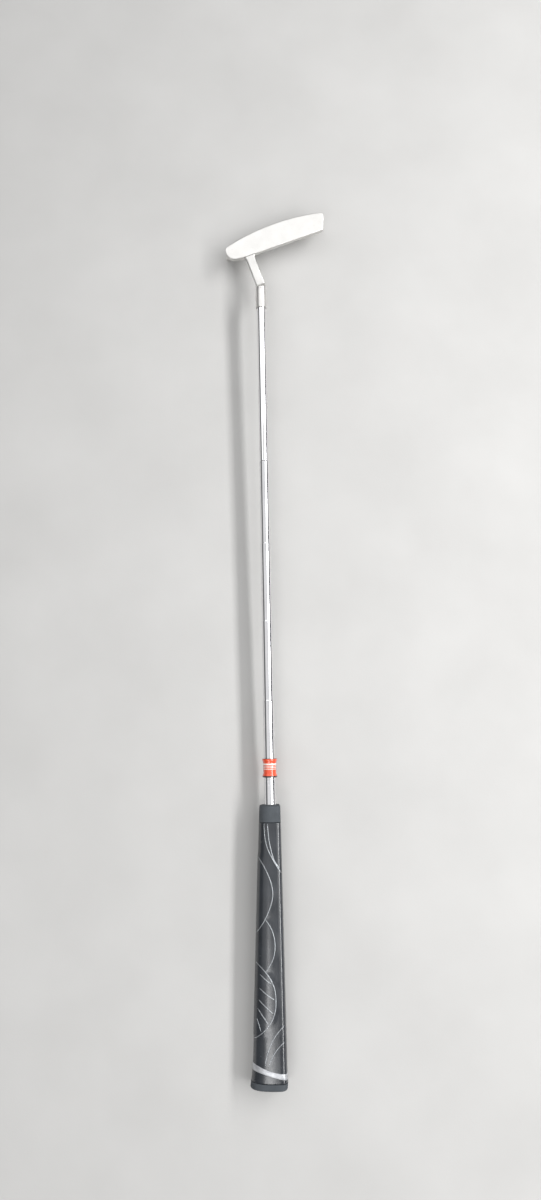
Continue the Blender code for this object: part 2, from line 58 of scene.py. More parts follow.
HEEL_X, TOE_X = -23.6, 92.8
CENTRE_X = (HEEL_X + TOE_X) / 2
FACE_HEIGHT = 25.0
TOP_LINE = 7.0
HEAD_DEPTH = 27.0
ROCKER, CAMBER = 252.0, 66.0
SOLE_LOW_X, SOLE_LOW_Z = CENTRE_X + 5, -10.0
FLANGE_FRONT, FLANGE_SLOPE = 16.4, math.radians(4)
CAVITY_HALF = (22.0, 5.0)
CAVITY_Y, CAVITY_FLOOR = 10.2, -4.5
SIGHT_RADIUS, SIGHT_START = 0.9, -9.0
SOLE_EDGE, FACE_EDGE, PLAN_EDGE, SHOULDER_EDGE, NOTCH_EDGE = 1.2, 0.45, 0.9, 0.8, 0.7
CAVITY_CORNER, CAVITY_FOOT, CAVITY_EDGE = 2.5, 0.9, 0.4
SIGHT_EDGE, HOLE_EDGE, SOCKET_EDGE = 0.15, 0.3, 0.1

POST_HALF = (4.9, 3.2)
POST_CORNER = 1.4
POST_Z = -TOP_LINE / 2
FOOT_FLARE, FLARE_HEIGHT = 1.2, 6.5
ARM_START, POST_END, ARM_END = 34.5, 3.6, 9.4
HOSEL_RADIUS, HOSEL_LENGTH = 5.8, 32.6
HULL_INSET = 0.12  # keeps the arm's hull, which has flat sides, inside the round hosel
FOOT_EDGE, MOUTH_EDGE, BORE_EDGE = 0.12, 0.4, 0.15
SHAFT_INSERTION = 21.0
SPIGOT_RADIUS, SPIGOT_LENGTH = 2.0, 7.0
NECK_Y = CLUB_LENGTH - 63.1
MOUTH_Y = NECK_Y - HOSEL_LENGTH
TIP_Y = MOUTH_Y + SHAFT_INSERTION

TIP_RADIUS, SHAFT_WALL = 4.7, 0.5
TIP_STEP_Y, FIRST_STEP_Y, STEP_PITCH = 623.0, 534.8, 81.4
VISIBLE_STEP, HIDDEN_STEP = 0.25, 0.7
SHAFT_BUTT_Y = 7.3

BAND_Y, BAND_LENGTH = 294.1, 18.8
BAND_FIT, BAND_WALL, BAND_RIM = 0.05, 0.5, 0.9
RIM_LENGTH, RIM_FLAT, RIM_EASE = 5.0, 1.0, 0.45

GRIP_LENGTH, CAP_LENGTH, COLLAR_LENGTH = 267.0, 6.7, 16.5
WRAP_WALL, WRAP_EASE = 1.3, 0.5
GRIP_FRONT, GRIP_BACK, GRIP_HALF = (11.9, 10.0), (22.4, 11.3), (14.5, 10.6)
BUTT_FLARE, FLARE_LENGTH = 2.2, 30.0
WIDEST_SHARE, FLAT_POWER, BACK_POWER = 0.15, 4.2, 2.2
COLLAR_INSET, COLLAR_EASE, COLLAR_ROLL, HOLE_FIT = 0.15, 0.4, 1.9, 0.12
CAP_ROLL, CAP_PROUD, CAP_EASE, VENT = 2.2, 0.3, 0.5, 1.2

WEIGHT_RADIUS, WEIGHT_LENGTH, WEIGHT_SPREAD, WEIGHT_Z = 6.0, 6.0, 41.5, -13.5
WEIGHT_CHAMFER, WEIGHT_FOOT = 0.35, 0.2
GROOVE_INSET, GROOVE_RADIUS, GROOVE_EDGE = 0.95, 0.22, 0.06
PIN_CIRCLE, PIN_RADIUS, PIN_DEPTH, PIN_EDGE = 3.9, 0.9, 2.0, 0.15

# ---- Frames ----------------------------------------------------------------------------------


def basis(first, second):
    """An orthonormal basis whose first axis is first and whose second lies in the plane of both."""
    a = Vector(first).normalized()
    b = Vector(second)
    b = (b - a * b.dot(a)).normalized()
    return Matrix((a, b, a.cross(b))).transposed()


mounts = {mount["name"]: mount for mount in frame["record"]["mounts"]}
lean = math.radians(90) - LIE
face_in_club = (math.sin(lean) * math.sin(LOFT), -math.cos(lean) * math.sin(LOFT), math.cos(LOFT))
along_shaft = -Vector(mounts["butt_end"]["axis"])
face_out = Vector(mounts["striking_face"]["axis"])
CLUB_TURN = basis(along_shaft, face_out) @ basis((0, 1, 0), face_in_club).transposed()
HEAD_IN_CLUB = Matrix.Rotation(lean, 3, "Z") @ Matrix.Rotation(LOFT, 3, "X")
HEAD_TURN = CLUB_TURN @ HEAD_IN_CLUB
butt = Vector(mounts["butt_end"]["pos_m"]) - CLUB_TURN @ Vector((-8 * MM, 0, 0))
CLUB = Matrix.Translation(butt) @ CLUB_TURN.to_4x4() @ Matrix.Scale(MM, 4)
top_line = Vector(mounts["striking_face"]["pos_m"]) - HEAD_TURN @ Vector((CENTRE_X * MM, 12.5 * MM, 0))
HEAD = Matrix.Translation(top_line) @ HEAD_TURN.to_4x4() @ Matrix.Scale(MM, 4)
CLUB_FROM_HEAD = np.array(CLUB.inverted() @ HEAD)
HEAD_FROM_CLUB = HEAD.inverted() @ CLUB


def weight_frame(side):
    """A sole weight's frame in the head's: local +Z out of the sole, square to the rocker."""
    tilt = math.asin((CENTRE_X + side * WEIGHT_SPREAD - SOLE_LOW_X) / ROCKER)
    at = (CENTRE_X + side * WEIGHT_SPREAD, FACE_HEIGHT - ROCKER + ROCKER * math.cos(tilt), WEIGHT_Z)
    turn = Matrix.Rotation(-tilt, 4, "Z") @ Matrix.Rotation(math.radians(-90), 4, "X")
    return Matrix.Translation(at) @ turn


# ---- Distances: negative inside, with circular fillets where two surfaces meet ---------------


def both(a, b, radius):
    """Where both solids are, its convex edge rounded to this radius."""
    over = np.hypot(np.maximum(radius + a, 0), np.maximum(radius + b, 0))
    return np.minimum(-radius, np.maximum(a, b)) + over


def without(a, b, radius):
    return both(a, -b, radius)


def outline_distance(u, v, outline):
    """Distance to a closed flat outline."""
    best, inside = np.inf, False
    for (ax, ay), (bx, by) in zip(outline, outline[1:] + outline[:1]):
        ex, ey = bx - ax, by - ay
        wu, wv = u - ax, v - ay
        t = np.clip((wu * ex + wv * ey) / (ex * ex + ey * ey), 0, 1)
        best = np.minimum(best, (wu - t * ex) ** 2 + (wv - t * ey) ** 2)
        if ay != by:
            inside = inside ^ (((ay > v) != (by > v)) & (u < ax + wv * ex / ey))
    return np.where(inside, -np.sqrt(best), np.sqrt(best))


def slot_distance(u, v, half_u, half_v, corner):
    """Distance to a rectangle with round corners."""
    du, dv = np.abs(u) - half_u + corner, np.abs(v) - half_v + corner
    outside = np.hypot(np.maximum(du, 0), np.maximum(dv, 0))
    return outside + np.minimum(np.maximum(du, dv), 0) - corner


def local(x, y, z, matrix):
    """The same points in the frame of that matrix."""
    m = np.array(matrix.inverted())
    return [m[k, 0] * x + m[k, 1] * y + m[k, 2] * z + m[k, 3] for k in range(3)]


def arc(centre, radius, start, end, points=24):
    """Points along an arc, in degrees from +X."""
    angles = np.radians(np.linspace(start, end, points))
    return [(centre[0] + radius * math.cos(a), centre[1] + radius * math.sin(a)) for a in angles]


# ---- Meshes from distances: surface nets, with each vertex then moved onto the surface -------


def slope_at(points, distance, reach=0.02):
    """The gradient of distance at each point."""
    steps = np.eye(3) * reach
    rises = [distance(*(points + step).T) - distance(*(points - step).T) for step in steps]
    return np.stack(rises, axis=1) / (2 * reach)


def settle(points, distance):
    """Moves points along the gradient until they lie on the surface, and returns them with its normals."""
    for _ in range(3):
        slope = slope_at(points, distance)
        move = distance(*points.T) / np.maximum((slope**2).sum(1), 0.3)
        points = points - np.clip(move, -0.3, 0.3)[:, None] * slope
    slope = slope_at(points, distance)
    return points, slope / np.maximum(np.linalg.norm(slope, axis=1), 1e-6)[:, None]


def net(distance, low, high, step):
    """(points, normals, quads) of the surface where distance is nought."""
    ticks = [np.arange(a, b + step, step) for a, b in zip(low, high)]
    shape = tuple(len(t) for t in ticks)
    x, y, z = ticks[0][:, None, None], ticks[1][None, :, None], ticks[2][None, None, :]
    grid = np.array(np.broadcast_to(distance(x, y, z), shape), dtype=np.float64)
    cells = tuple(n - 1 for n in shape)
    total, count = np.zeros(cells + (3,)), np.zeros(cells, int)
    crossings = []
    for axis in range(3):
        first = grid[tuple(slice(None, -1) if k == axis else slice(None) for k in range(3))]
        second = grid[tuple(slice(1, None) if k == axis else slice(None) for k in range(3))]
        at = np.argwhere((first < 0) != (second < 0))
        a, b = first[tuple(at.T)], second[tuple(at.T)]
        place = at.astype(float)
        place[:, axis] += a / (a - b)
        crossings.append((at, a < 0))
        u, v = [k for k in range(3) if k != axis]
        for du in (0, 1):
            for dv in (0, 1):
                cell = at.copy()
                cell[:, u] -= du
                cell[:, v] -= dv
                np.add.at(total, tuple(cell.T), place)
                np.add.at(count, tuple(cell.T), 1)
    used = count > 0
    index = np.full(cells, -1)
    index[used] = np.arange(used.sum())
    points = total[used] / count[used][:, None] * step + np.array(low)
    quads = []
    for axis, (at, leaves) in enumerate(crossings):
        u, v = (axis + 1) % 3, (axis + 2) % 3
        corners = []
        for du, dv in ((1, 1), (0, 1), (0, 0), (1, 0)):
            cell = at.copy()
            cell[:, u] -= du
            cell[:, v] -= dv
            corners.append(index[tuple(cell.T)])
        faces = np.stack(corners, axis=1)
        faces[~leaves] = faces[~leaves][:, ::-1]
        quads.append(faces)
    return *settle(points, distance), np.concatenate(quads)


# ---- Pieces ----------------------------------------------------------------------------------


def piece(name, points, faces, matrix, finishes, replaced=(), normals=None, choose=None):
    """A mesh in the row frame that rides on the one body. choose(centres) gives each face's finish."""
    mesh = bpy.data.meshes.new(name)
    flat = np.asarray(points, float) @ np.array(matrix)[:3, :3].T + np.array(matrix)[:3, 3]
    mesh.from_pydata(flat.tolist(), [], faces.tolist() if isinstance(faces, np.ndarray) else faces)
    for finish in finishes:
        mesh.materials.append(finish)
    if choose is not None:
        centres = np.asarray(points, float)[np.asarray(faces)].mean(1)
        mesh.polygons.foreach_set("material_index", choose(centres).astype(np.int32))
    mesh.shade_smooth()
    mesh.update()
    if normals is None:
        tidy_normals(mesh)
    else:
        turned_normals = np.asarray(normals) @ np.array(matrix.to_3x3().normalized()).T
        mesh.normals_split_custom_set_from_vertices(turned_normals.tolist())
    obj = bpy.data.objects.new(name, mesh)
    bpy.context.scene.collection.objects.link(obj)
    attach(obj, "root")
    if replaced:
        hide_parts(*replaced)
    return obj


def tidy_normals(mesh):
    """Turns every face outwards."""
    bm = bmesh.new()
    bm.from_mesh(mesh)
    bmesh.ops.recalc_face_normals(bm, faces=bm.faces)
    bm.to_mesh(mesh)
    bm.free()


def crisp(obj, angle):
    """Marks the edges sharper than this as sharp, so that flats stay flat."""
    obj.data.set_sharp_from_angle(angle=math.radians(angle))


def skin(rings, closed=False):
    """(points, faces) over rings of equal length: capped, or joined last to first."""
    rings = [np.asarray(ring, float) for ring in rings]
    count, levels = len(rings[0]), len(rings)
    spans = levels if closed else levels - 1
    around = np.arange(count)
    after = (around + 1) % count
    faces = []
    for level in range(spans):
        low, high = level * count, (level + 1) % levels * count
        faces += np.stack([low + around, low + after, high + after, high + around], 1).tolist()
    if not closed:
        faces.append(list(range(count))[::-1])
        faces.append(list(range((levels - 1) * count, levels * count)))
    return np.concatenate(rings), faces


def lathe(profile, sides=96):
    """(points, faces) of closed (radius, y) profile turned round the shaft's axis."""
    angles = np.linspace(0, 2 * math.pi, sides, endpoint=False)
    rings = [np.stack([r * np.sin(angles), np.full(sides, y), r * np.cos(angles)], 1) for r, y in profile]
    return skin(rings, closed=True)


# ---- Finishes --------------------------------------------------------------------------------


class Finish:
    """A node material built up from object coordinates, in metres."""

    def __init__(self, name, **values):
        self.material = bpy.data.materials.new(name)
        self.material.use_nodes = True
        self.tree = self.material.node_tree
        self.shader = self.tree.nodes["Principled BSDF"]
        for socket, value in values.items():
            self.shader.inputs[socket.replace("_", " ")].default_value = value
        self.place = self.node("ShaderNodeTexCoord").outputs["Object"]

    def node(self, kind, **settings):
        made = self.tree.nodes.new(kind)
        for key, value in settings.items():
            setattr(made, key, value)
        return made

    def link(self, source, target):
        self.tree.links.new(source, target)

    def turned(self, matrix):
        """Coordinates in the frame of that matrix, still in metres."""
        move = self.node("ShaderNodeMapping", vector_type="TEXTURE")
        where, turn, _ = matrix.decompose()
        move.inputs["Location"].default_value = where
        move.inputs["Rotation"].default_value = turn.to_euler()
        self.link(self.place, move.inputs["Vector"])
        return move.outputs["Vector"]

    def stretched(self, scale, source=None):
        move = self.node("ShaderNodeMapping")
        move.inputs["Scale"].default_value = scale
        self.link(source or self.place, move.inputs["Vector"])
        return move.outputs["Vector"]

    def noise(self, scale, detail=3.0, source=None, rough=0.5):
        made = self.node("ShaderNodeTexNoise")
        made.inputs["Scale"].default_value = scale
        made.inputs["Detail"].default_value = detail
        made.inputs["Roughness"].default_value = rough
        self.link(source or self.place, made.inputs["Vector"])
        return made.outputs["Fac"]

    def cells(self, scale, source=None):
        made = self.node("ShaderNodeTexVoronoi")
        made.inputs["Scale"].default_value = scale
        self.link(source or self.place, made.inputs["Vector"])
        return made.outputs["Distance"]

    def rings(self, scale, source, distortion=0.0):
        """Cutter marks: rings round the Z axis of source."""
        made = self.node("ShaderNodeTexWave", wave_type="RINGS", rings_direction="Z")
        made.inputs["Scale"].default_value = scale
        made.inputs["Distortion"].default_value = distortion
        self.link(source, made.inputs["Vector"])
        return made.outputs["Fac"]

    def ramp(self, source, low, high, values):
        """Colours or greys spread evenly over source from low to high."""
        made = self.node("ShaderNodeValToRGB")
        elements = made.color_ramp.elements
        while len(elements) < len(values):
            elements.new(0.5)
        for i, value in enumerate(values):
            elements[i].position = low + (high - low) * i / (len(values) - 1)
            elements[i].color = (*value, 1) if isinstance(value, tuple) else (value, value, value, 1)
        self.link(source, made.inputs["Fac"])
        return made.outputs["Color"]

    def colour(self, source, low, high, *values):
        self.link(self.ramp(source, low, high, values), self.shader.inputs["Base Color"])
        return self

    def roughness(self, source, low, high, *values):
        self.link(self.ramp(source, low, high, values), self.shader.inputs["Roughness"])
        return self

    def bump(self, source, depth):
        """Adds relief this deep, in metres, on top of any already there."""
        made = self.node("ShaderNodeBump")
        made.inputs["Distance"].default_value = depth
        made.inputs["Strength"].default_value = 1.0
        self.link(source, made.inputs["Height"])
        last = self.shader.inputs["Normal"]
        if last.is_linked:
            self.link(last.links[0].from_socket, made.inputs["Normal"])
        self.link(made.outputs["Normal"], last)
        return self


def frame_only(matrix):
    """The frame without its millimetre scale."""
    where, turn, _ = matrix.decompose()
    return Matrix.Translation(where) @ turn.to_matrix().to_4x4()


SHAFT_FRAME = frame_only(CLUB)
HEAD_FRAME = frame_only(HEAD)

mist = Finish("misted_steel", Metallic=1.0)
mist.colour(mist.noise(60, 4), 0.3, 0.7, (0.71, 0.70, 0.68), (0.79, 0.78, 0.76))
mist.roughness(mist.noise(900, 3), 0.3, 0.7, 0.30, 0.40)
mist.bump(mist.noise(5200, 2), 4e-6).bump(mist.noise(140, 2), 8e-6)

face_mist = Finish("milled_face", Metallic=1.0)
cutter_place = face_mist.turned(HEAD_FRAME @ Matrix.Translation((CENTRE_X * MM, -0.11, 0)))
face_mist.colour(face_mist.noise(70, 4), 0.3, 0.7, (0.74, 0.73, 0.71), (0.81, 0.80, 0.78))
face_mist.roughness(face_mist.noise(1100, 3), 0.3, 0.7, 0.27, 0.37)
face_mist.bump(face_mist.noise(5200, 2), 4e-6)
face_mist.bump(face_mist.rings(380, cutter_place, distortion=0.3), 3e-6)

neck_steel = Finish("misted_neck_steel", Metallic=1.0)
neck_grain = neck_steel.stretched((1, 0.03, 1), neck_steel.turned(SHAFT_FRAME))
neck_steel.colour(neck_steel.noise(70, 4), 0.3, 0.7, (0.72, 0.71, 0.69), (0.80, 0.79, 0.77))
neck_steel.roughness(neck_steel.noise(1500, 3, neck_grain), 0.3, 0.7, 0.28, 0.40)
neck_steel.bump(neck_steel.noise(4200, 2, neck_grain), 5e-6)

sight_paint = Finish("sight_line_paint")
sight_paint.colour(sight_paint.noise(900, 3), 0.3, 0.7, (0.012, 0.012, 0.013), (0.03, 0.03, 0.032))
sight_paint.roughness(sight_paint.noise(700), 0.3, 0.7, 0.3, 0.5)
sight_paint.bump(sight_paint.noise(1500, 2), 2e-5)

chrome = Finish("bright_chrome", Metallic=1.0)
chrome_grain = chrome.stretched((1, 0.02, 1), chrome.turned(SHAFT_FRAME))
chrome.colour(chrome.noise(40, 5), 0.3, 0.75, (0.80, 0.80, 0.81), (0.88, 0.88, 0.89))
chrome.roughness(chrome.noise(120, 5, rough=0.7), 0.35, 0.75, 0.035, 0.11)
chrome.bump(chrome.noise(3000, 2, chrome_grain), 1.2e-6)

turned_steel = Finish("turned_steel", Metallic=1.0)
turned_steel.colour(turned_steel.noise(300, 3), 0.3, 0.7, (0.50, 0.50, 0.50), (0.62, 0.62, 0.61))
turned_steel.roughness(turned_steel.noise(1300, 3), 0.3, 0.7, 0.22, 0.38)
turned_steel.bump(turned_steel.noise(4000, 2), 5e-6)

orange = Finish("orange_vinyl", Coat_Weight=1.0, Coat_Roughness=0.08)
orange.colour(orange.noise(260, 4), 0.3, 0.7, (0.72, 0.062, 0.016), (0.82, 0.10, 0.032))
orange.roughness(orange.noise(900, 3), 0.3, 0.7, 0.30, 0.42)
orange.bump(orange.noise(1800, 2), 8e-6)

white_vinyl = Finish("white_print", Coat_Weight=1.0, Coat_Roughness=0.08)
white_vinyl.colour(white_vinyl.noise(700, 4), 0.3, 0.7, (0.78, 0.72, 0.66), (0.88, 0.85, 0.80))
white_vinyl.roughness(white_vinyl.noise(900, 3), 0.3, 0.7, 0.30, 0.42)
white_vinyl.bump(white_vinyl.noise(1800, 2), 8e-6)

black_vinyl = Finish("black_print", Coat_Weight=1.0, Coat_Roughness=0.08)
black_vinyl.colour(black_vinyl.noise(700, 4), 0.3, 0.7, (0.012, 0.010, 0.010), (0.032, 0.024, 0.022))
black_vinyl.roughness(black_vinyl.noise(900, 3), 0.3, 0.7, 0.34, 0.46)
black_vinyl.bump(black_vinyl.noise(1800, 2), 8e-6)

grip_skin = Finish("grip_polyurethane", Specular_IOR_Level=0.8)
grip_skin.colour(grip_skin.noise(45, 5, rough=0.6), 0.3, 0.72, (0.018, 0.021, 0.026), (0.032, 0.037, 0.044))
grip_skin.roughness(grip_skin.noise(240, 4), 0.3, 0.72, 0.17, 0.28)
grip_skin.bump(grip_skin.cells(2400), 1.4e-5).bump(grip_skin.noise(700, 3), 1.2e-5)

# The grip lines' light silver colour is painted highlight: it stands for the light that the raised lines
# catch.
line_highlight = Finish("silver_line_highlight", Metallic=0.85)
line_highlight.colour(line_highlight.noise(500, 4), 0.3, 0.7, (0.34, 0.36, 0.38), (0.48, 0.50, 0.52))
line_highlight.roughness(line_highlight.noise(900, 3), 0.3, 0.7, 0.30, 0.46)
line_highlight.bump(line_highlight.noise(2400, 2), 1e-5)

swoosh_silver = Finish("silver_band_paint", Metallic=0.6)
swoosh_silver.colour(swoosh_silver.noise(320, 4), 0.3, 0.7, (0.46, 0.47, 0.49), (0.58, 0.59, 0.61))
swoosh_silver.roughness(swoosh_silver.noise(900, 3), 0.3, 0.7, 0.38, 0.52)
swoosh_silver.bump(swoosh_silver.noise(2400, 2), 1e-5)

rubber = Finish("grip_end_rubber")
rubber.colour(rubber.noise(70, 5, rough=0.6), 0.3, 0.7, (0.050, 0.058, 0.066), (0.074, 0.084, 0.094))
rubber.roughness(rubber.noise(500, 4), 0.3, 0.7, 0.70, 0.88)
rubber.bump(rubber.noise(2600, 3), 3e-5).bump(rubber.noise(500, 2), 1.5e-5)

foam = Finish("core_foam")
foam.colour(foam.cells(1400), 0.0, 0.8, (0.03, 0.03, 0.03), (0.07, 0.07, 0.07))
foam.roughness(foam.noise(600), 0.3, 0.7, 0.85, 0.97)
foam.bump(foam.cells(1400), 1.5e-4)

crepe = Finish("crepe_tape")
crepe_place = crepe.stretched((0.3, 1, 0.3), crepe.turned(SHAFT_FRAME))
crepe.colour(crepe.noise(900, 4, crepe_place), 0.3, 0.7, (0.60, 0.56, 0.44), (0.80, 0.77, 0.66))
crepe.roughness(crepe.noise(500), 0.3, 0.7, 0.8, 0.92)
crepe.bump(crepe.noise(1300, 3, crepe_place), 1e-4)

plug = Finish("moulded_plug")
plug.colour(plug.noise(400, 3), 0.3, 0.7, (0.07, 0.07, 0.07), (0.13, 0.13, 0.13))
plug.roughness(plug.noise(900), 0.3, 0.7, 0.42, 0.58)
plug.bump(plug.noise(1800, 2), 3e-5)

for node, finish in (("tip_plug", plug), ("grip_tape", crepe), ("grip_core", foam)):
    obj = frame["nodes"][node]
    obj.data.materials.clear()
    obj.data.materials.append(finish.material)

# ---- Head ------------------------------------------------------------------------------------


def face_outline():
    """Straight top line, slanted toe, round heel. The sole side runs on past the sole."""
    heel, toe_top, toe_sole, slant, past_sole = 10.0, 3.0, 4.1, 22.9, 40.0
    outline = arc((TOE_X - 8.3, toe_top), toe_top, -90, -slant)
    outline += arc((TOE_X - toe_sole, 15.9), toe_sole, -slant, 80)
    outline += [(TOE_X - 6, past_sole), (HEEL_X + heel + 6, past_sole)]
    outline += arc((HEEL_X + heel, 10.9), heel, 95, 264, 60)
    return outline + [(-4.0, 0.0)]


def plan_outline():
    """The head seen along the face: straight front, rear corners that sweep round to heel and toe."""
    power, front, start = 2 / 2.5, 10.0, -6.0
    points = []
    for centre, reach in ((CENTRE_X + 30, 31), (CENTRE_X - 30, -31)):
        angles = np.radians(np.linspace(0, 90, 40))
        corner = [
            (centre + reach * abs(math.cos(a)) ** power, start - (HEAD_DEPTH + start) * math.sin(a) ** power)
            for a in angles
        ]
        points += corner if reach > 0 else corner[::-1]
    return [(points[0][0], front), *points, (points[-1][0], front)]


def shoulder_outline():
    """What is cut away behind the top line: the step, the crest and the bumpers' roll, in (Y, Z)."""
    step, fillet, crest, roll, far = 5.0, 2.4, 9.0, 12.0, 45.0
    rear = FLANGE_FRONT + (HEAD_DEPTH - TOP_LINE) * math.tan(FLANGE_SLOPE)
    outline = [(-5.0, -TOP_LINE)] + arc((step, -TOP_LINE - fillet), fillet, 90, 20, 12)
    for a in np.radians(np.linspace(0, 90, 30)):
        outline.append((crest + (rear - crest) * (1 - math.cos(a)), roll - HEAD_DEPTH - roll * math.sin(a)))
    return outline + [(rear, -far), (-5.0, -far)]


def notch_outline():
    """The gap between the bumpers over the flange, seen from behind."""
    floor, top, corner, high = 24.0, 29.0, 3.0, -16.0
    outline = [(-top, high)] + arc((-floor + corner, -corner), corner, 160, 90, 12)
    return outline + arc((floor - corner, -corner), corner, 90, 20, 12) + [(top, high)]


FACE, PLAN, SHOULDER, NOTCH = face_outline(), plan_outline(), shoulder_outline(), notch_outline()
slope = Matrix.Rotation(-FLANGE_SLOPE, 4, "X")
FLANGE = Matrix.Translation((CENTRE_X, FLANGE_FRONT, -TOP_LINE)) @ slope
SIGHT_Y = FLANGE_FRONT + (-SIGHT_START - TOP_LINE) * math.tan(FLANGE_SLOPE)
SIGHT = Matrix.Translation((CENTRE_X, SIGHT_Y, 0)) @ slope


def sight_distance(x, y, z):
    u, v, w = local(x, y, z, SIGHT)
    return np.maximum(np.hypot(u, v) - SIGHT_RADIUS, w - SIGHT_START)


def head_distance(x, y, z):
    drop = CAMBER - np.sqrt(CAMBER**2 - (z - SOLE_LOW_Z) ** 2)
    sole = np.hypot(x - SOLE_LOW_X, y - FACE_HEIGHT + ROCKER) - ROCKER + drop
    body = both(outline_distance(x, y, FACE), sole, SOLE_EDGE)
    body = both(body, z, FACE_EDGE)
    body = both(body, outline_distance(x, z, PLAN), PLAN_EDGE)
    body = without(body, outline_distance(y, z, SHOULDER), SHOULDER_EDGE)
    u, v, w = local(x, y, z, FLANGE)
    body = without(body, np.maximum(outline_distance(u, v, NOTCH), w), NOTCH_EDGE)
    pocket = slot_distance(x - CENTRE_X, y - CAVITY_Y, *CAVITY_HALF, CAVITY_CORNER)
    body = without(body, both(pocket, z - CAVITY_FLOOR, CAVITY_FOOT), CAVITY_EDGE)
    body = without(body, sight_distance(x, y, z), SIGHT_EDGE)
    for side in (-1, 1):
        u, v, w = local(x, y, z, weight_frame(side))
        hole = np.maximum(np.hypot(u, v) - WEIGHT_RADIUS - GAP, -w - WEIGHT_LENGTH - 2 * GAP)
        body = without(body, hole, HOLE_EDGE)
    socket = np.maximum(np.hypot(x, z - POST_Z) - SPIGOT_RADIUS - GAP, y - SPIGOT_LENGTH - GAP)
    return without(body, socket, SOCKET_EDGE)


def head_finishes(at):
    """Milled steel on the striking face, paint in the sight line, misted steel elsewhere."""
    paint = (sight_distance(*at.T) < 0.12) & (at[:, 2] < SIGHT_START + 0.1)
    return np.where(at[:, 2] > -0.2, 1, np.where(paint, 2, 0))


HEAD_GRID, NECK_GRID, WEIGHT_GRID = 0.38, 0.3, 0.18
points, normals, quads = net(
    head_distance, (HEEL_X - 1, -1, -HEAD_DEPTH - 1), (TOE_X + 1, FACE_HEIGHT + 1, 1), HEAD_GRID
)
piece(
    "milled_head",
    points,
    quads,
    HEAD,
    [mist.material, face_mist.material, sight_paint.material],
    ["blade_head"],
    normals,
    choose=head_finishes,
)


def weight_distance(x, y, z):
    """A turned plug with a chamfer, a groove inside its rim and three spanner holes."""
    reach = np.hypot(x, y)
    body = both(reach - WEIGHT_RADIUS, z + GAP, WEIGHT_CHAMFER)
    body = both(body, -z - WEIGHT_LENGTH - GAP, WEIGHT_FOOT)
    groove = np.hypot(reach - WEIGHT_RADIUS + GROOVE_INSET, z + GAP) - GROOVE_RADIUS
    body = without(body, groove, GROOVE_EDGE)
    for turn in range(3):
        a = math.radians(90 + 120 * turn)
        u, v = x - PIN_CIRCLE * math.cos(a), y - PIN_CIRCLE * math.sin(a)
        body = without(body, np.maximum(np.hypot(u, v) - PIN_RADIUS, -z - PIN_DEPTH), PIN_EDGE)
    return body


for name, side in (("heel_weight", -1), ("toe_weight", 1)):
    low, high = WEIGHT_RADIUS + 0.5, 0.4
    points, normals, quads = net(
        weight_distance, (-low, -low, -WEIGHT_LENGTH - 1), (low, low, high), WEIGHT_GRID
    )
    place = HEAD @ weight_frame(side)
    piece("turned_" + name, points, quads, place, [turned_steel.material], [name], normals)

# ---- Neck ------------------------------------------------------------------------------------


def corners(half_u, half_v, corner, points=8):
    outline = []
    for i, (su, sv) in enumerate(((1, 1), (-1, 1), (-1, -1), (1, -1))):
        outline += arc((su * (half_u - corner), sv * (half_v - corner)), corner, 90 * i, 90 * i + 90, points)
    return outline


# The softened top of the post: (how far short of its end, scale of its section there).
POST_TOP = ((0.7, 1), (0.2, 0.965), (0, 0.91))


def arm_planes():
    """The faces of the hull that runs from the post's section to the hosel's round one."""
    section = corners(*POST_HALF, POST_CORNER)
    points = [Vector((u, -ARM_START, POST_Z + v)) for u, v in section]
    for short, scale in POST_TOP:
        reach = POST_END - short
        for u, v in section:
            at = Vector((u * scale, 0, POST_Z + v * scale, 1))
            at.y = (NECK_Y - reach - (Matrix(CLUB_FROM_HEAD) @ at).y) / CLUB_FROM_HEAD[1][1]
            points.append(at.xyz)
    for reach in (ARM_END, ARM_END + 4):
        ring = arc((0, 0), HOSEL_RADIUS - HULL_INSET, 0, 360, 65)[:-1]
        points += [HEAD_FROM_CLUB @ Vector((u, NECK_Y - reach, v)) for u, v in ring]
    bm = bmesh.new()
    for point in points:
        bm.verts.new(point)
    bmesh.ops.convex_hull(bm, input=bm.verts)
    bmesh.ops.recalc_face_normals(bm, faces=bm.faces)
    planes = set()
    for face in bm.faces:
        if face.calc_area() > 1e-4:
            normal = face.normal
            planes.add((*(round(c, 4) for c in normal), round(normal.dot(face.verts[0].co), 3)))
    bm.free()
    return sorted(planes)


ARM = arm_planes()


def neck_distance(x, y, z):
    flare = FOOT_FLARE * np.clip(1 + y / FLARE_HEIGHT, 0, 1) ** 2
    post = slot_distance(x / (1 + flare / POST_HALF[0]), z - POST_Z, *POST_HALF, POST_CORNER)
    post = both(post, y + GAP, FOOT_EDGE)
    body = np.maximum(post, -y - ARM_START - 1)
    hull = -np.inf
    for a, b, c, d in ARM:
        hull = np.maximum(hull, a * x + b * y + c * z - d)
    body = np.minimum(body, hull)
    m = CLUB_FROM_HEAD
    u, v, w = (m[k][0] * x + m[k][1] * y + m[k][2] * z + m[k][3] for k in range(3))
    hosel = both(np.hypot(u, w) - HOSEL_RADIUS, MOUTH_Y - v, MOUTH_EDGE)
    body = np.minimum(body, np.maximum(hosel, v - NECK_Y + ARM_END + 2))
    spigot = np.maximum(np.hypot(x, z - POST_Z) - SPIGOT_RADIUS, np.maximum(y - SPIGOT_LENGTH, -y - 3))
    body = np.minimum(body, spigot)
    bore = np.maximum(np.hypot(u, w) - TIP_RADIUS - 0.2, v - TIP_Y - GAP)
    return without(body, bore, BORE_EDGE)


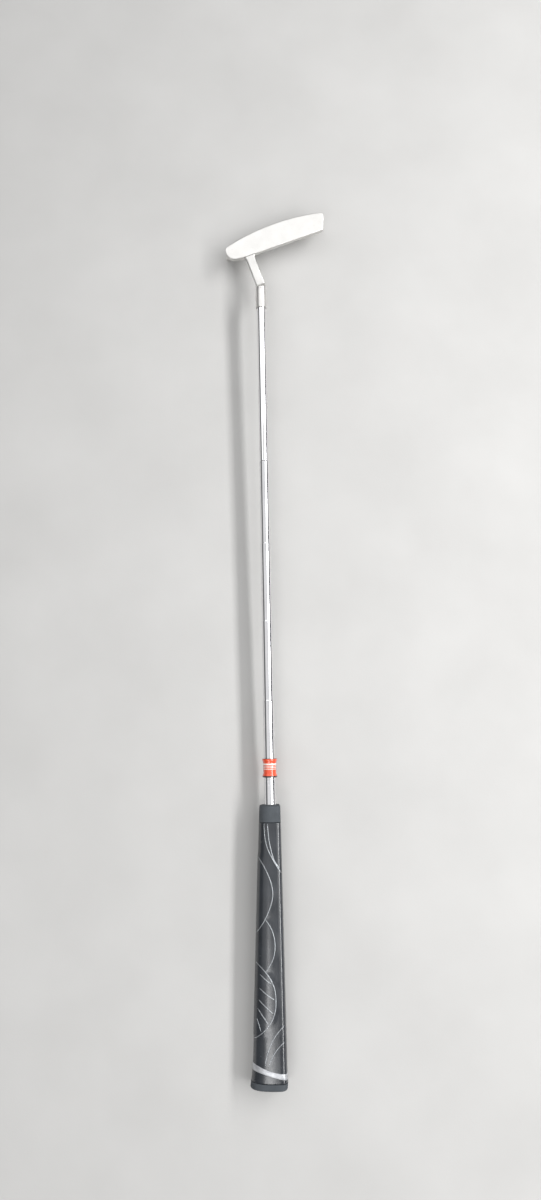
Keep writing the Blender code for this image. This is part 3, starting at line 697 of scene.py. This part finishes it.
mouth = HEAD_FROM_CLUB @ Vector((0, MOUTH_Y, 0))
reach = HOSEL_RADIUS + 1
points, normals, quads = net(
    neck_distance,
    (mouth.x - reach, mouth.y - reach, POST_Z - 5.5),
    (8, SPIGOT_LENGTH + 1, mouth.z + reach),
    NECK_GRID,
)
piece("plumbers_neck", points, quads, HEAD, [neck_steel.material], ["plumber_neck"], normals)

# ---- Shaft and band --------------------------------------------------------------------------


def shaft_radius(y):
    radius = TIP_RADIUS + (VISIBLE_STEP if y < TIP_STEP_Y else 0)
    for i in range(6):
        if y < FIRST_STEP_Y - i * STEP_PITCH:
            radius += VISIBLE_STEP if i < 4 else HIDDEN_STEP
    return radius


# A step from its top down: (share of its growth in radius, height of its rolled lip, distance below the top).
STEP_SHAPE = (
    *((0, 0, 0), (0.06, 0, 0.15), (0.6, 0, 0.6)),
    *((1, 0.05, 1.05), (1, 0.125, 1.35), (1, 0.125, 1.8), (1, 0, 2.4)),
)


def shaft_profile():
    """Outer (radius, y) points from the tip down to the butt."""
    points = [(shaft_radius(TIP_Y), TIP_Y)]
    for i in range(-1, 6):
        top = TIP_STEP_Y if i < 0 else FIRST_STEP_Y - i * STEP_PITCH
        small, large = shaft_radius(top + 1), shaft_radius(top - 1)
        for share, lip, drop in STEP_SHAPE:
            points.append((small + (large - small) * share + lip, top - drop))
    return points + [(shaft_radius(SHAFT_BUTT_Y), SHAFT_BUTT_Y)]


outer = shaft_profile()
bore = outer[0][0] - SHAFT_WALL
inner = [(bore, SHAFT_BUTT_Y), (bore, TIP_Y)]
points, faces = lathe(outer + inner, 112)
shaft = piece("stepped_shaft", points, faces, CLUB, [chrome.material], ["shaft"])
crisp(shaft, 30)

BORE = shaft_radius(BAND_Y) + BAND_FIT
BODY_RADIUS = shaft_radius(BAND_Y) + GAP + BAND_WALL
# Bands of colour from the top down: (length, finish), with 0 orange, 1 white and 2 black.
PRINT = (
    *((0.5, 2), (4.6, 0), (1.5, 1), (0.9, 0), (0.55, 1), (1.0, 0)),
    *((0.55, 1), (1.0, 0), (0.6, 1), (6.5, 0), (1.6, 2)),
)


def band_radius(down):
    """The waist's radius at this depth below the top, with a rim that flares at each end."""
    from_end = min(down, BAND_LENGTH - down)
    share = min(max((RIM_LENGTH - from_end) / (RIM_LENGTH - RIM_FLAT), 0), 1)
    radius = BODY_RADIUS + BAND_RIM * share * share * (3 - 2 * share)
    if from_end < RIM_EASE:
        radius -= RIM_EASE - math.sqrt(max(RIM_EASE**2 - (RIM_EASE - from_end) ** 2, 0))
    return radius


def band_profile():
    edges = [0.0]
    for length, _ in PRINT:
        edges.append(edges[-1] + length)
    edges = [edge * BAND_LENGTH / edges[-1] for edge in edges]
    rim = np.linspace(0, RIM_EASE, 6)
    downs = sorted({*edges, *rim, *np.linspace(0, BAND_LENGTH, 48), *(BAND_LENGTH - rim)})
    return edges, [(band_radius(down), BAND_Y + BAND_LENGTH - down) for down in downs]


edges, profile = band_profile()
profile += [(BORE, BAND_Y), (BORE, BAND_Y + BAND_LENGTH)]


def band_finishes(at):
    down = BAND_Y + BAND_LENGTH - at[:, 1]
    chosen = np.zeros(len(at), int)
    for start, end, (_, finish) in zip(edges, edges[1:], PRINT):
        chosen[(down >= start) & (down < end)] = finish
    return chosen


points, faces = lathe(profile)
band = piece(
    "printed_band",
    points,
    faces,
    CLUB,
    [orange.material, white_vinyl.material, black_vinyl.material],
    ["shaft_band"],
    choose=band_finishes,
)
crisp(band, 35)

# ---- Grip ------------------------------------------------------------------------------------

AROUND = 168  # points round the grip


def grip_reach(y):
    """(front, back, half width) of the grip's section at y."""
    share = min(max(y / GRIP_LENGTH, 0), 1)
    front, back, half = (e[0] + (e[1] - e[0]) * share for e in (GRIP_FRONT, GRIP_BACK, GRIP_HALF))
    return front, back + BUTT_FLARE * max(0, 1 - y / FLARE_LENGTH) ** 2, half


def grip_section(y, shrink=0.0):
    """Evenly spaced (x, z) points round the section: a flat towards the toe side, a rounded pistol back."""
    front, back, half = (reach - shrink for reach in grip_reach(y))
    widest = WIDEST_SHARE * front
    a = np.linspace(0, 2 * math.pi, 1441)
    power = np.where(np.cos(a) > 0, FLAT_POWER, BACK_POWER)
    reach = np.where(np.cos(a) > 0, front - widest, back + widest)
    r = (np.abs(np.cos(a) / reach) ** power + np.abs(np.sin(a) / half) ** power) ** (-1 / power)
    x, z = widest + r * np.cos(a), r * np.sin(a)
    run = np.concatenate([[0], np.cumsum(np.hypot(np.diff(x), np.diff(z)))])
    even = np.linspace(0, run[-1], AROUND, endpoint=False)
    return np.stack([np.interp(even, run, x), np.interp(even, run, z)], 1)


def grip_height(x, y):
    """z of the grip's upper surface over (x, y)."""
    front, back, half = grip_reach(y)
    widest = WIDEST_SHARE * front
    flat = x > widest
    reach, power = (front - widest, FLAT_POWER) if flat else (back + widest, BACK_POWER)
    return half * max(0.0, 1 - min(1, abs(x - widest) / reach) ** power) ** (1 / power)


def ring_of(y, shrink=0.0, relief=None):
    """One ring of the grip in the club's frame, moved out along its normals by relief."""
    section = grip_section(y, shrink)
    if relief is not None:
        along = np.roll(section, -1, 0) - np.roll(section, 1, 0)
        outward = np.stack([along[:, 1], -along[:, 0]], 1)
        outward /= np.linalg.norm(outward, axis=1)[:, None]
        section = section + outward * relief(section[:, 0], y)[:, None]
    return np.stack([section[:, 0], np.full(AROUND, float(y)), section[:, 1]], 1)


def round_ring(y, radius):
    a = np.linspace(0, 2 * math.pi, AROUND, endpoint=False)
    return np.stack([radius * np.cos(a), np.full(AROUND, float(y)), radius * np.sin(a)], 1)


# Flowing lines on each side of the grip. A lobe is a hump (middle y, half length, crest x, depth, power).
LOBES = ((183.0, 34.0, 0.7, 13.5, 1.7), (134.0, 25.0, 1.9, 9.7, 2.2), (83.0, 33.0, 1.8, 17.0, 2.4))


def lobe_line(middle, half, crest, depth, power, ends=(1.0, 1.0)):
    """Points down a lobe's edge, from its high end to its low one."""
    shares = np.linspace(ends[0], -ends[1], 41)
    return [(crest - depth * abs(s) ** power, middle + half * s) for s in shares]


def spread(path, step=0.7):
    """A smooth curve through control points, at even steps."""
    points = [np.array(p, float) for p in path]
    points = [2 * points[0] - points[1], *points, 2 * points[-1] - points[-2]]
    dense = []
    for a, b, c, d in zip(points, points[1:], points[2:], points[3:]):
        for t in np.linspace(0, 1, 24, endpoint=False):
            bend, twist = 2 * a - 5 * b + 4 * c - d, 3 * b - a - 3 * c + d
            dense.append(0.5 * (2 * b + (c - a) * t + bend * t**2 + twist * t**3))
    dense = np.array(dense + [points[-2]])
    run = np.concatenate([[0], np.cumsum(np.hypot(*np.diff(dense, axis=0).T))])
    even = np.linspace(0, run[-1], max(int(run[-1] / step), 4) + 1)
    return [(np.interp(e, run, dense[:, 0]), np.interp(e, run, dense[:, 1])) for e in even]


def feathers():
    """Short lines fanning across the last lobe, each ending just inside its edge."""
    middle, half, crest, depth, power = LOBES[2]
    lines = []
    for i, end_share in enumerate((0.46, 0.02, -0.36, -0.66)):
        end = (crest - depth * abs(end_share) ** power - 1.2, middle + half * end_share)
        start = (-13.0 - 0.9 * i, end[1] + 8.5 + 1.8 * i)
        bend = (0.45 * start[0] + 0.55 * end[0], 0.52 * start[1] + 0.48 * end[1] - 1.2)
        lines.append([start, bend, end])
    return lines + [[(-16.8, 66.0), (-14.6, 59.5), (-13.0, 54.0)]]


LINES_TOP = GRIP_LENGTH - COLLAR_LENGTH - 1
LINES = [
    [(-6.9, LINES_TOP), (-6.2, 236.0), (-3.6, 225.0), (1.6, 214.5), (5.8, 207.5), (9.6, 201.5)],
    [(-3.4, LINES_TOP), (-2.7, 238.0), (-1.0, 227.0), (2.4, 214.5), (7.6, 206.5)],
    lobe_line(*LOBES[0], (1.05, 1.12)),
    lobe_line(*LOBES[1], (1.0, 1.0)),
    lobe_line(*LOBES[2], (1.1, 1.12)),
    *feathers(),
    [(9.4, 60.0), (4.0, 54.5), (-0.6, 48.5), (-4.6, 41.0), (-7.6, 33.0), (-9.8, 23.5)],
    [(9.0, 45.0), (4.6, 41.0), (0.8, 36.5), (-3.2, 30.5), (-6.4, 22.5)],
]
PANELS = [lobe_line(*lobe) + [(-26.0, lobe[0] - lobe[1]), (-26.0, lobe[0] + lobe[1])] for lobe in LOBES]
PANEL_HEIGHT, PANEL_EDGE, EDGE_SHARE = 0.4, 6.0, 0.85


def relief(x, y):
    """Raised panels behind the lobes' edges, the same on both sides of the grip."""
    height = np.zeros(np.shape(x))
    for panel in PANELS:
        away = outline_distance(x, np.full(np.shape(x), float(y)), panel)
        inside = np.clip(EDGE_SHARE - away / PANEL_EDGE, 0, 1)
        height = np.maximum(height, inside * inside * (3 - 2 * inside))
    return PANEL_HEIGHT * height


wrap_low, wrap_high = CAP_LENGTH + GAP, GRIP_LENGTH - COLLAR_LENGTH - GAP
quarter = np.linspace(0, math.pi / 2, 5)
heights = [wrap_low + WRAP_EASE * (1 - math.cos(a)) for a in quarter][:-1]
heights += list(np.linspace(wrap_low + WRAP_EASE, wrap_high - WRAP_EASE, 236))
heights += [wrap_high - WRAP_EASE * (1 - math.sin(a)) for a in quarter][1:]


def end_ease(y):
    """How far the wrap's rounded ends stand in at y."""
    from_end = min(y - wrap_low, wrap_high - y)
    if from_end >= WRAP_EASE:
        return 0.0
    return WRAP_EASE - math.sqrt(max(WRAP_EASE**2 - (WRAP_EASE - from_end) ** 2, 0))


rings = [ring_of(y, end_ease(y), relief) for y in heights]
rings += [ring_of(y, WRAP_WALL) for y in np.linspace(wrap_high, wrap_low, 24)]
points, faces = skin(rings, closed=True)
wrap = piece("grip_sleeve", points, faces, CLUB, [grip_skin.material], ["grip_wrap"])
crisp(wrap, 50)


def surface_point(x, y, side):
    """A point on the sleeve and its outward normal, for side +1 above and -1 below."""
    at = np.array([x, y, grip_height(x, y)])
    small = 0.05
    along_x = np.array([2 * small, 0, grip_height(x + small, y) - grip_height(x - small, y)])
    along_y = np.array([0, 2 * small, grip_height(x, y + small) - grip_height(x, y - small)])
    normal = np.cross(along_x, along_y)
    normal /= np.linalg.norm(normal)
    at = at + normal * float(relief(np.array([x]), y)[0])
    turn = np.array([1, 1, side])
    return at * turn, normal * turn


TAPER_LENGTH, TAPER_START = 3.0, 0.12


def bead(path, side, half_width, height):
    """A raised line along path: a flattened bead, half sunk in the sleeve, tapering to both ends."""
    section = np.radians(np.linspace(0, 360, 10, endpoint=False))
    placed = [surface_point(x, y, side) for x, y in path]
    spots = np.array([at for at, _ in placed])
    run = np.concatenate([[0], np.cumsum(np.linalg.norm(np.diff(spots, axis=0), axis=1))])
    rings = []
    for i, (at, normal) in enumerate(placed):
        tangent = spots[min(i + 1, len(spots) - 1)] - spots[max(i - 1, 0)]
        tangent /= np.linalg.norm(tangent)
        across = np.cross(tangent, normal) * side
        from_end = min(run[i], run[-1] - run[i])
        taper = math.sqrt(min(1.0, (TAPER_START + from_end) / TAPER_LENGTH))
        wide, tall = across * half_width * taper, normal * height * taper
        rings.append([at + wide * math.cos(a) + tall * math.sin(a) for a in section])
    return skin(rings)


def joined(parts):
    """Several (points, faces) as one."""
    points, faces, start = [], [], 0
    for some, some_faces in parts:
        points.append(some)
        faces += [[start + int(i) for i in face] for face in some_faces]
        start += len(some)
    return np.concatenate(points), faces


def on_grip(path, margin=0.3):
    """The part of a path that lies on the sleeve, a margin in from where its two sides meet."""
    kept = []
    for x, y in path:
        front, back, _ = grip_reach(y)
        if margin - back < x < front - margin:
            kept.append((x, y))
    return kept


LINE_HALF_WIDTH, LINE_HEIGHT = 0.42, 0.22
paths = [on_grip(spread(line)) for line in LINES]
beads = [bead(path, side, LINE_HALF_WIDTH, LINE_HEIGHT) for path in paths for side in (1, -1)]
points, faces = joined(beads)
# The raised lines carry the finish with the painted highlight.
piece("grip_lines", points, faces, CLUB, [line_highlight.material])


# The silver band across its width: (share of its half width, lift above the sleeve).
SWOOSH_EDGE = ((-1, -0.4), (-1, 0.02), (-0.9, 0.13), (-0.45, 0.15))
SWOOSH_SECTION = SWOOSH_EDGE + tuple((-across, lift) for across, lift in SWOOSH_EDGE[::-1])
SWOOSH_LOW, SWOOSH_RISE, SWOOSH_HALF, SWOOSH_PINCH = 12.4, 8.6, 3.1, 0.7


def swoosh_rings():
    """A painted band round the butt, low on the flat and rising towards the back."""
    rings = []
    for i in range(AROUND):
        share = (1 - math.cos(2 * math.pi * i / AROUND)) / 2
        middle = SWOOSH_LOW + SWOOSH_RISE * share**1.3
        half = SWOOSH_HALF - SWOOSH_PINCH * math.sin(2 * math.pi * i / AROUND) ** 2
        ring = []
        for across, lift in SWOOSH_SECTION:
            y = middle + half * across
            section = grip_section(y, -lift)
            ring.append((section[i][0], y, section[i][1]))
        rings.append(ring)
    return rings


points, faces = skin(swoosh_rings(), closed=True)
piece("grip_swoosh", points, faces, CLUB, [swoosh_silver.material])

collar_low = GRIP_LENGTH - COLLAR_LENGTH
hole = shaft_radius(GRIP_LENGTH) + HOLE_FIT
rings = [round_ring(collar_low, hole)]
for a in quarter:
    y = collar_low + COLLAR_EASE * (1 - math.cos(a))
    rings.append(ring_of(y, COLLAR_INSET + COLLAR_EASE * (1 - math.sin(a))))
rings += [ring_of(y, COLLAR_INSET) for y in np.linspace(collar_low + 1, GRIP_LENGTH - 2.2, 12)]
for a in np.linspace(0.1, math.pi / 2, 8):
    y = GRIP_LENGTH - COLLAR_ROLL * (1 - math.sin(a))
    rings.append(ring_of(y, COLLAR_INSET + COLLAR_ROLL * (1 - math.cos(a))))
rings += [round_ring(GRIP_LENGTH, hole + 0.3), round_ring(GRIP_LENGTH - 0.3, hole)]
points, faces = skin(rings, closed=True)
collar = piece("grip_mouth_collar", points, faces, CLUB, [rubber.material], ["grip_collar"])
crisp(collar, 35)

# The cap from the vent outwards: its flat with a groove, the rolled edge, the side and the upper edge.
rings = [round_ring(0.35, VENT), round_ring(0, VENT + 0.35)]
rings += [ring_of(0, inset) for inset in (9.0, 8.6)] + [ring_of(0.35, inset) for inset in (8.3, 8.0)]
rings += [ring_of(0, inset) for inset in (7.7, 5.0)]
for a in np.linspace(0, math.pi / 2, 9):
    rings.append(ring_of(CAP_ROLL * (1 - math.cos(a)), CAP_ROLL * (1 - math.sin(a))))
for y in np.linspace(3, CAP_LENGTH - CAP_EASE, 4):
    rings.append(ring_of(y, -CAP_PROUD * (y - CAP_ROLL) / (CAP_LENGTH - (CAP_ROLL + CAP_EASE))))
for a in np.linspace(0.2, math.pi / 2, 5):
    y = CAP_LENGTH - CAP_EASE * (1 - math.sin(a))
    rings.append(ring_of(y, -CAP_PROUD + CAP_EASE * (1 - math.cos(a))))
rings += [round_ring(CAP_LENGTH, VENT)]
points, faces = skin(rings, closed=True)
cap = piece("grip_butt_cap", points, faces, CLUB, [rubber.material], ["grip_end_cap"])
crisp(cap, 40)

# ---- Floor, light and camera -----------------------------------------------------------------

floor_finish = Finish("pale_floor")
floor_finish.colour(floor_finish.noise(9, 4), 0.3, 0.7, (0.49, 0.485, 0.475), (0.53, 0.525, 0.515))
floor_finish.roughness(floor_finish.noise(30, 3), 0.3, 0.7, 0.75, 0.85)
floor_finish.bump(floor_finish.noise(500, 3), 6e-5)

floor_mesh = bpy.data.meshes.new("floor")
FLOOR = 6.0
floor_mesh.from_pydata(
    [(-FLOOR, -FLOOR, 0), (FLOOR, -FLOOR, 0), (FLOOR, FLOOR, 0), (-FLOOR, FLOOR, 0)], [], [(0, 1, 2, 3)]
)
floor_mesh.materials.append(floor_finish.material)
floor = bpy.data.objects.new("floor", floor_mesh)
floor.location.z = -0.0002
bpy.context.scene.collection.objects.link(floor)


def area_light(name, at, towards, size, power):
    data = bpy.data.lights.new(name, "AREA")
    data.shape = "RECTANGLE"
    data.size, data.size_y = size
    data.energy = power
    light = bpy.data.objects.new(name, data)
    light.location = at
    light.rotation_euler = (Vector(towards) - Vector(at)).to_track_quat("-Z", "Y").to_euler()
    bpy.context.scene.collection.objects.link(light)


area_light("key_softbox", (0.98, 0.10, 1.45), (0.98, 0.10, 0.0), (1.34, 1.8), 13.5)
area_light("strip_light", (1.0, 0.10, 1.0), (0.0, 0.10, 0.0), (2.4, 0.2), 22)
area_light("head_softbox", (0.15, 1.18, 1.45), (0.15, 0.9, 0.0), (3.8, 0.7), 7.3)
area_light("fill_softbox", (-0.95, 0.25, 1.45), (-0.95, 0.25, 0.0), (2.18, 2.4), 11)
area_light("butt_softbox", (-0.38, -0.98, 1.30), (-0.1, -0.5, 0.0), (0.7, 0.5), 6)

world = bpy.data.worlds.new("studio")
bpy.context.scene.world = world
world.use_nodes = True
background = world.node_tree.nodes["Background"]
background.inputs["Color"].default_value = (0.80, 0.81, 0.83, 1)
background.inputs["Strength"].default_value = 0.20
bpy.context.scene.view_settings.view_transform = "Standard"

LENS, SENSOR = 27.0, 36.0
CAMERA_AT = (-0.0145, -0.1215, 0.946)
CAMERA_ROLL, CAMERA_TILT, CAMERA_TURN = -0.08, 8.75, -1.0
data = bpy.data.cameras.new("camera")
data.lens = LENS
data.sensor_width = SENSOR
data.clip_start = 0.05
camera = bpy.data.objects.new("camera", data)
turn = (
    Matrix.Rotation(math.radians(CAMERA_TURN), 4, "Z")
    @ Matrix.Rotation(math.radians(CAMERA_TILT), 4, "X")
    @ Matrix.Rotation(math.radians(CAMERA_ROLL), 4, "Z")
)
camera.matrix_world = Matrix.Translation(CAMERA_AT) @ turn
bpy.context.scene.collection.objects.link(camera)
bpy.context.scene.camera = camera
